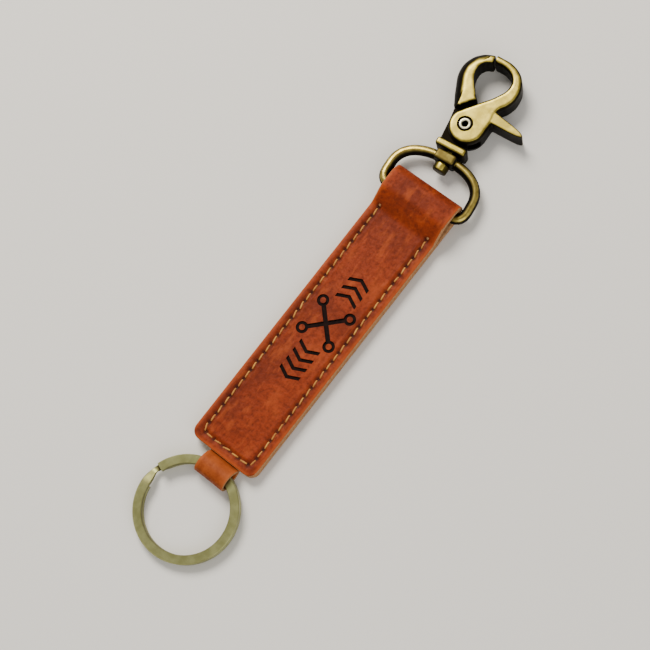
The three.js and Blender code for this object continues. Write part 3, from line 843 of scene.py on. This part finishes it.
# ---------------------------------------------------------------- swivel ring
def make_swivel_ring():
    """Round wire with a straight bar, a bow and a bored boss in the bow's middle."""
    wire_r, half_width, bar_half, corner = 1.5, 13.05, 10.15, 2.9
    bow_y, bow_rise, power = 5.1, 8.8, 2.4
    half = []
    for degrees in range(86, 2, -8):
        c, s = math.cos(math.radians(degrees)), math.sin(math.radians(degrees))
        half.append((half_width * c ** (2 / power), bow_y + bow_rise * s ** (2 / power)))
    half.append((half_width, bow_y))
    for degrees in range(0, -91, -30):
        angle = math.radians(degrees)
        half.append((bar_half + corner * math.cos(angle), corner * (1 + math.sin(angle))))
    points = half + [(4.0, 0.0), (-4.0, 0.0)] + [(-x, y) for x, y in reversed(half)]
    curve = bpy.data.curves.new("wire", "CURVE")
    curve.dimensions = "3D"
    curve.resolution_u = 5
    curve.bevel_depth = wire_r * MM
    curve.bevel_resolution = 6
    curve.use_fill_caps = True
    spline = curve.splines.new("BEZIER")
    spline.bezier_points.add(len(points) - 1)
    for knot, (x, y) in zip(spline.bezier_points, points):
        knot.co = (x * MM, y * MM, 0)
        knot.handle_left_type = knot.handle_right_type = "AUTO"
    obj = bpy.data.objects.new("wire", curve)
    bpy.context.collection.objects.link(obj)
    only(obj)
    bpy.ops.object.convert(target="MESH")
    obj = bpy.context.object
    edit(obj)
    bpy.ops.mesh.select_all(action="SELECT")
    bpy.ops.mesh.remove_doubles(threshold=0.005 * MM)
    bpy.ops.mesh.normals_make_consistent(inside=False)
    done(obj)
    boss = block(-3.15, 3.15, 12.3, 15.45, -2.95, 2.95, 0.75, 4)
    cut(obj, boss, how="UNION")
    cast(obj, 0.15, 3)
    bore = drum(1.75, -4, 4)
    settle(bore, Matrix.Translation((0, 14 * MM, 0)) @ Matrix.Rotation(math.pi / 2, 4, "X"))
    cut(obj, bore)

    def unpolished_and_shaded(at, facing):
        """The ring's inner side, dark partly with patina and partly as painted shade, its right half
        painted a little darker as shade, and the boss's flanks.
        """
        if abs(at.z) >= 2:
            return 0.65
        outward = Vector((at.x, at.y - 6.5, 0)).normalized()
        # Faces turned in toward the ring's middle darken, partly patina and partly painted shade; the right
        # half is painted darker than the left as shade.
        return 0.3 + 0.02 * at.x - 1.6 * facing.dot(outward)
    patina_and_painted_shade(obj, unpolished_and_shaded)
    settle(obj, TO_SWIVEL)
    give(obj, WIRE_BRASS)
    smooth(obj, 40)
    named(obj, "d_ring")
    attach(obj, "swivel_ring")
    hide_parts("swivel_ring")


def make_swivel_post():
    """The stud: a crowned head inside the swivel ring, and a shank through its boss into the flange."""
    head = [(0, 9.7), (1.6, 9.72), (1.88, 9.8), (2.06, 9.96), (2.15, 10.25), (2.15, 11.85), (2.02, 12.0)]
    profile = head + [(1.45, 12.0), (1.45, 17.3), (1.2, 17.6), (0, 17.6)]
    obj = lathe(profile, closed=False)
    settle(obj, TO_SWIVEL @ Matrix.Rotation(-math.pi / 2, 4, "X"))
    give(obj, BRASS)
    smooth(obj, 35)
    named(obj, "post")
    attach(obj, "hook")
    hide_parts("swivel_post")


# ---------------------------------------------------------------- snap hook
def make_hook_body():
    """Flange, middle tongue and fixed jaw, run together as one casting."""
    jaw_line = [(-0.75, 7.75, True), (-3.7, 11.0), (-5.55, 14.6), (-4.9, 18.0), (-2.55, 19.35, True),
                (-2.95, 21.7, True), (-6.9, 20.45), (-9.3, 17.8), (-10.15, 13.9), (-8.3, 8.2),
                (-5.9, 3.5, True), (-4.9, 3.75, True)]
    tongue_line = [(-4.4, -6.8, True), (4.2, -6.8, True), (4.2, -6.2, True), (3.15, -4.6, True)]
    for degrees in range(-48, 117, 12):
        angle = math.radians(degrees)
        tongue_line.append((4.6 * math.cos(angle), 4.6 * math.sin(angle), True))
    tongue_line += [(-2.75, 4.9, True), (-3.0, 7.0, True), (-6.2, 6.0, True), (-5.6, 3.4, True),
                    (-5.0, -0.5, True)]

    def jaw_share(x, y):
        """The jaw's back is rounded far more than the inside of its eye, and its two ends hardly at all."""
        if x > -2.7 and y > 19.3 or y < 0.96 * (x + 4.9) + 4.2:
            return 0.08
        if math.hypot(x + 0.5, y - 14.5) < 6.9:
            return 0.16
        return min(1.0, max(0.4, (-x - 3.0) / 4.5, (12 - y) / 4))
    jaw = plate(jaw_line, HOOK_DEPTH, 3.1, 9, share=jaw_share)
    tongue = plate(tongue_line, 1.3)
    flange = block(-4.7, 4.7, -8.7, -6.4, -3.4, 3.4, 0.7, 4)
    obj = join(jaw, tongue, flange)
    cast(obj)
    bore_place = Matrix.Translation((0, -8.8 * MM, 0)) @ Matrix.Rotation(math.pi / 2, 4, "X")
    bore = settle(drum(1.75, -2.0, 2.0), bore_place)
    pocket = drum(3.4, -0.8, 3)
    fixed_leg_slot = block(-4.2, 0, -0.45, 0.45, -0.8, 3)
    leg_room = plate([(0, 0, True), (5.4, -4.2, True), (5.6, 2.4, True)], 1.0)
    settle(leg_room, Matrix.Translation((0, 0, 1.4 * MM)))
    cut(obj, drum(1.7, -3, 3), pocket, leg_room, fixed_leg_slot, bore)

    def unpolished_and_shaded(at, facing):
        """The tongue, the inside of the eye and the rounded back of the jaw; on the back, the faces turned
        to -x are painted darker as shade.
        """
        if abs(at.z) < 2.0 and at.y > -6.3:
            return 1.0
        # Painted shade on the jaw's back, on faces turned to -x.
        return 3.4 * (-facing.x - 0.08) if at.y > 3 else 0.0
    patina_and_painted_shade(obj, unpolished_and_shaded)
    settle(obj, TO_HOOK)
    give(obj, BRASS)
    smooth(obj, 40)
    named(obj, "hook_casting")
    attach(obj, "hook")
    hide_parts("hook_body")


def make_trigger():
    """The two cheeks, the thumb lever and the gate arm, run together as one casting."""
    cheek_x, cheek_y, cheek_r = 0.8, -0.1, 5.35
    line = []
    for degrees in range(158, 353, 13):
        angle = math.radians(degrees)
        line.append((cheek_x + cheek_r * math.cos(angle), cheek_y + cheek_r * math.sin(angle)))
    arm_back = [(6.25, 1.6), (6.35, 4.4), (6.1, 6.6), (6.35, 7.9), (7.75, 9.9), (8.8, 13.4), (7.65, 18.1),
                (3.9, 21.2)]
    gate_tip = [(-2.5, 22.0, True), (-2.12, 19.65, True)]
    eye_side = [(1.6, 19.4), (4.5, 17.6), (5.2, 15.0), (3.6, 11.4), (0.2, 7.25), (-2.9, 3.6)]
    line += arm_back + gate_tip + eye_side
    lever_line = [(4.0, 3.5, True), (6.1, 3.5, True), (15.2, 3.75), (15.7, 4.25), (15.2, 4.85),
                  (6.0, 6.9, True), (4.0, 7.6, True)]
    arm = plate(line, HOOK_DEPTH, 0.95, 5, share=lambda x, y: 0.15 if x < -2.2 and y > 19 else 1.0)
    lever = plate(lever_line, HOOK_DEPTH - 0.05, 0.3, 3)
    obj = join(arm, lever)
    cast(obj)
    slot_half, recess_r, recess_depth = 1.55, 2.3, 0.6
    cut(obj, drum(5.2, -slot_half, slot_half, sides=96), block(-8, 8, -8, -1.8, -slot_half, slot_half),
        drum(1.45, -5, 5), drum(recess_r, HOOK_DEPTH - recess_depth, 6),
        drum(recess_r, -6, -HOOK_DEPTH + recess_depth))
    patina_and_painted_shade(obj, lambda at, facing: at.xy.length < 2.32 and abs(at.z) < HOOK_DEPTH - 0.03 or abs(at.z) < 1.6)
    settle(obj, TO_HOOK)
    give(obj, BRASS)
    smooth(obj, 40)
    named(obj, "trigger_casting")
    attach(obj, "trigger")
    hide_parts("trigger")


def make_pivot_rivet():
    """A tube flared over at both ends, in the recesses of the cheeks."""
    end = HOOK_DEPTH - 0.02
    half = [(1.35, end - 0.4), (1.52, end - 0.4), (1.64, end - 0.24), (1.58, end - 0.08), (1.3, end),
            (1.02, end - 0.06), (0.84, end - 0.25), (0.8, end - 0.6)]
    profile = half + [(r, -h) for r, h in reversed(half)]
    obj = lathe(profile, closed=True)
    patina_and_painted_shade(obj, lambda at, facing: at.xy.length < 0.86)
    settle(obj, TO_HOOK)
    give(obj, RIVET_BRASS)
    smooth(obj, 50)
    named(obj, "tube_rivet")
    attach(obj, "hook")
    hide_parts("pivot_rivet")


# ---------------------------------------------------------------- set: floor, light, camera
def make_set():
    bpy.ops.mesh.primitive_plane_add(size=6, location=(0, 0, -0.00002))
    floor = bpy.context.object
    floor.name = "floor"
    paper = Finish("pale_floor", Specular_IOR_Level=0.2)
    haze = paper.spots(3, detail=2)
    color = paper.blend(haze, linear(222, 217, 208), linear(230, 226, 218))
    give(floor, paper.finish(color, 0.8, paper.bump(paper.spots(900, detail=2), 0.05, 0.05)))

    world = bpy.data.worlds.new("soft_room")
    bpy.context.scene.world = world
    world.use_nodes = True
    sky = world.node_tree.nodes["Background"]
    sky.inputs["Color"].default_value = (1.0, 0.98, 0.95, 1)
    sky.inputs["Strength"].default_value = 0.45

    def lamp(name, place, size, watts, tint):
        light = bpy.data.lights.new(name, "AREA")
        light.shape = "DISK"
        light.size = size
        light.energy = watts
        light.color = tint
        obj = bpy.data.objects.new(name, light)
        obj.location = place
        obj.rotation_euler = (-Vector(place)).to_track_quat("-Z", "Y").to_euler()
        bpy.context.collection.objects.link(obj)

    lamp("window", (-0.55, 0.35, 0.75), 0.5, 14, (1.0, 0.97, 0.92))
    lamp("fill", (0.7, -0.2, 0.6), 0.8, 4, (0.95, 0.97, 1.0))

    camera = bpy.data.cameras.new("camera")
    camera.lens = 88.6
    camera.sensor_width = 36
    eye = bpy.data.objects.new("camera", camera)
    eye.location = Vector((121.0, -45.4, 423.4)) * MM
    target = Vector((-0.6, -1.1, 0.0)) * MM
    level = (target - eye.location).to_track_quat("-Z", "Y")
    eye.rotation_euler = (level @ Quaternion((0, 0, 1), math.radians(-32.7))).to_euler()
    bpy.context.collection.objects.link(eye)
    bpy.context.scene.camera = eye


make_set()
make_strap()
sew("face_thread", FACE - 0.16, 1)
sew("back_thread", 0.30, -1)
make_ring_tab()
make_split_ring()
make_swivel_ring()
make_swivel_post()
make_hook_body()
make_trigger()
make_pivot_rivet()
give(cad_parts["trigger_spring"], SPRING_STEEL)
